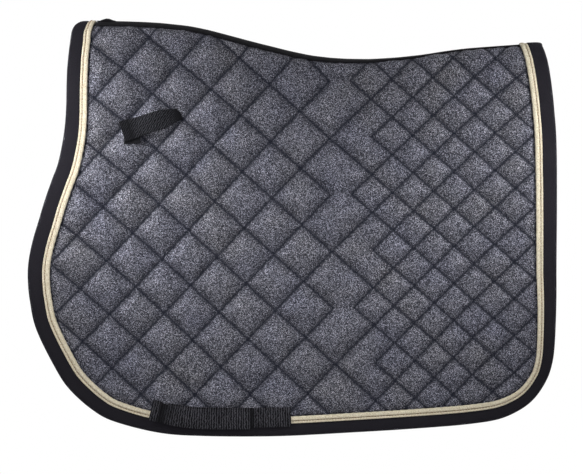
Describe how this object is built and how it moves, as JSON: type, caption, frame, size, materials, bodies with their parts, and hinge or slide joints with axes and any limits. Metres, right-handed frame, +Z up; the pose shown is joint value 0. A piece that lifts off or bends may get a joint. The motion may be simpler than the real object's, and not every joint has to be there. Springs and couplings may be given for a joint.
{
  "type": "all purpose saddle pad",
  "caption": "Quilted saddle pad folded over a rail, with a bound edge, cord trim, a spine tape, and webbing girth and billet straps on each flap.",
  "frame": {"origin": "Under the spine, on the tape inside the seam, at the lowest point of the spine's dip, midway between the flaps", "axes": "+X towards the rear of the horse, -Y towards its near (left) side, +Z up, with the pad hanging folded over a rail along X"},
  "size_m": [0.6705, 0.065, 0.5301],
  "materials": {
    "cover_cloth": "grey-blue glitter cloth, quilted",
    "wadding": "white polyester wadding",
    "lining": "black knitted cloth",
    "binding": "black woven tape",
    "cord": "cream and gold cord",
    "webbing": "black ribbed webbing"
  },
  "bodies": {
    "spine": {"left_spine_cover": "cover_cloth", "left_spine_wadding": "wadding", "left_spine_lining": "lining", "right_spine_cover": "cover_cloth", "right_spine_wadding": "wadding", "right_spine_lining": "lining", "front_spine_binding": "binding", "front_spine_narrow_cord": "cord", "front_spine_wide_cord": "cord", "rear_spine_binding": "binding", "rear_spine_narrow_cord": "cord", "rear_spine_wide_cord": "cord", "spine_tape": "binding", "inner_spine_tape": "binding", "tape_end_tab": "webbing"},
    "left_flap": {"left_flap_cover": "cover_cloth", "left_flap_wadding": "wadding", "left_flap_lining": "lining", "left_flap_binding": "binding", "left_flap_narrow_cord": "cord", "left_flap_wide_cord": "cord", "left_girth_base_strap": "webbing", "left_girth_strap_end": "webbing", "left_billet_base_patch": "webbing", "left_billet_strap_end": "webbing"},
    "left_girth_strap": {"left_girth_strap": "webbing"},
    "left_billet_strap": {"left_billet_strap": "webbing"},
    "right_flap": {"right_flap_cover": "cover_cloth", "right_flap_wadding": "wadding", "right_flap_lining": "lining", "right_flap_binding": "binding", "right_flap_narrow_cord": "cord", "right_flap_wide_cord": "cord", "right_girth_base_strap": "webbing", "right_girth_strap_end": "webbing", "right_billet_base_patch": "webbing", "right_billet_strap_end": "webbing"},
    "right_girth_strap": {"right_girth_strap": "webbing"},
    "right_billet_strap": {"right_billet_strap": "webbing"}
  },
  "joints": [
    {"name": "left_flap_fold", "type": "hinge", "parent": "spine", "child": "left_flap", "pos_m": [0, -0.0238, -0.024], "axis": [-1, 0, 0], "range_deg": [0, 75]},
    {"name": "left_girth_strap_hinge", "type": "hinge", "parent": "left_flap", "child": "left_girth_strap", "pos_m": [-0.2556, -0.0269, -0.44413], "axis": [-0.1667, 0, -0.986], "range_deg": [0, 120]},
    {"name": "left_billet_strap_hinge", "type": "hinge", "parent": "left_flap", "child": "left_billet_strap", "pos_m": [-0.23343, -0.0226, -0.06332], "axis": [-0.3371, 0, 0.9415], "range_deg": [0, 120]},
    {"name": "right_flap_fold", "type": "hinge", "parent": "spine", "child": "right_flap", "pos_m": [0, 0.0238, -0.024], "axis": [1, 0, 0], "range_deg": [0, 75]},
    {"name": "right_girth_strap_hinge", "type": "hinge", "parent": "right_flap", "child": "right_girth_strap", "pos_m": [-0.2556, 0.0269, -0.44413], "axis": [0.1667, 0, 0.986], "range_deg": [0, 120]},
    {"name": "right_billet_strap_hinge", "type": "hinge", "parent": "right_flap", "child": "right_billet_strap", "pos_m": [-0.23343, 0.0226, -0.06332], "axis": [0.3371, 0, -0.9415], "range_deg": [0, 120]}
  ]
}
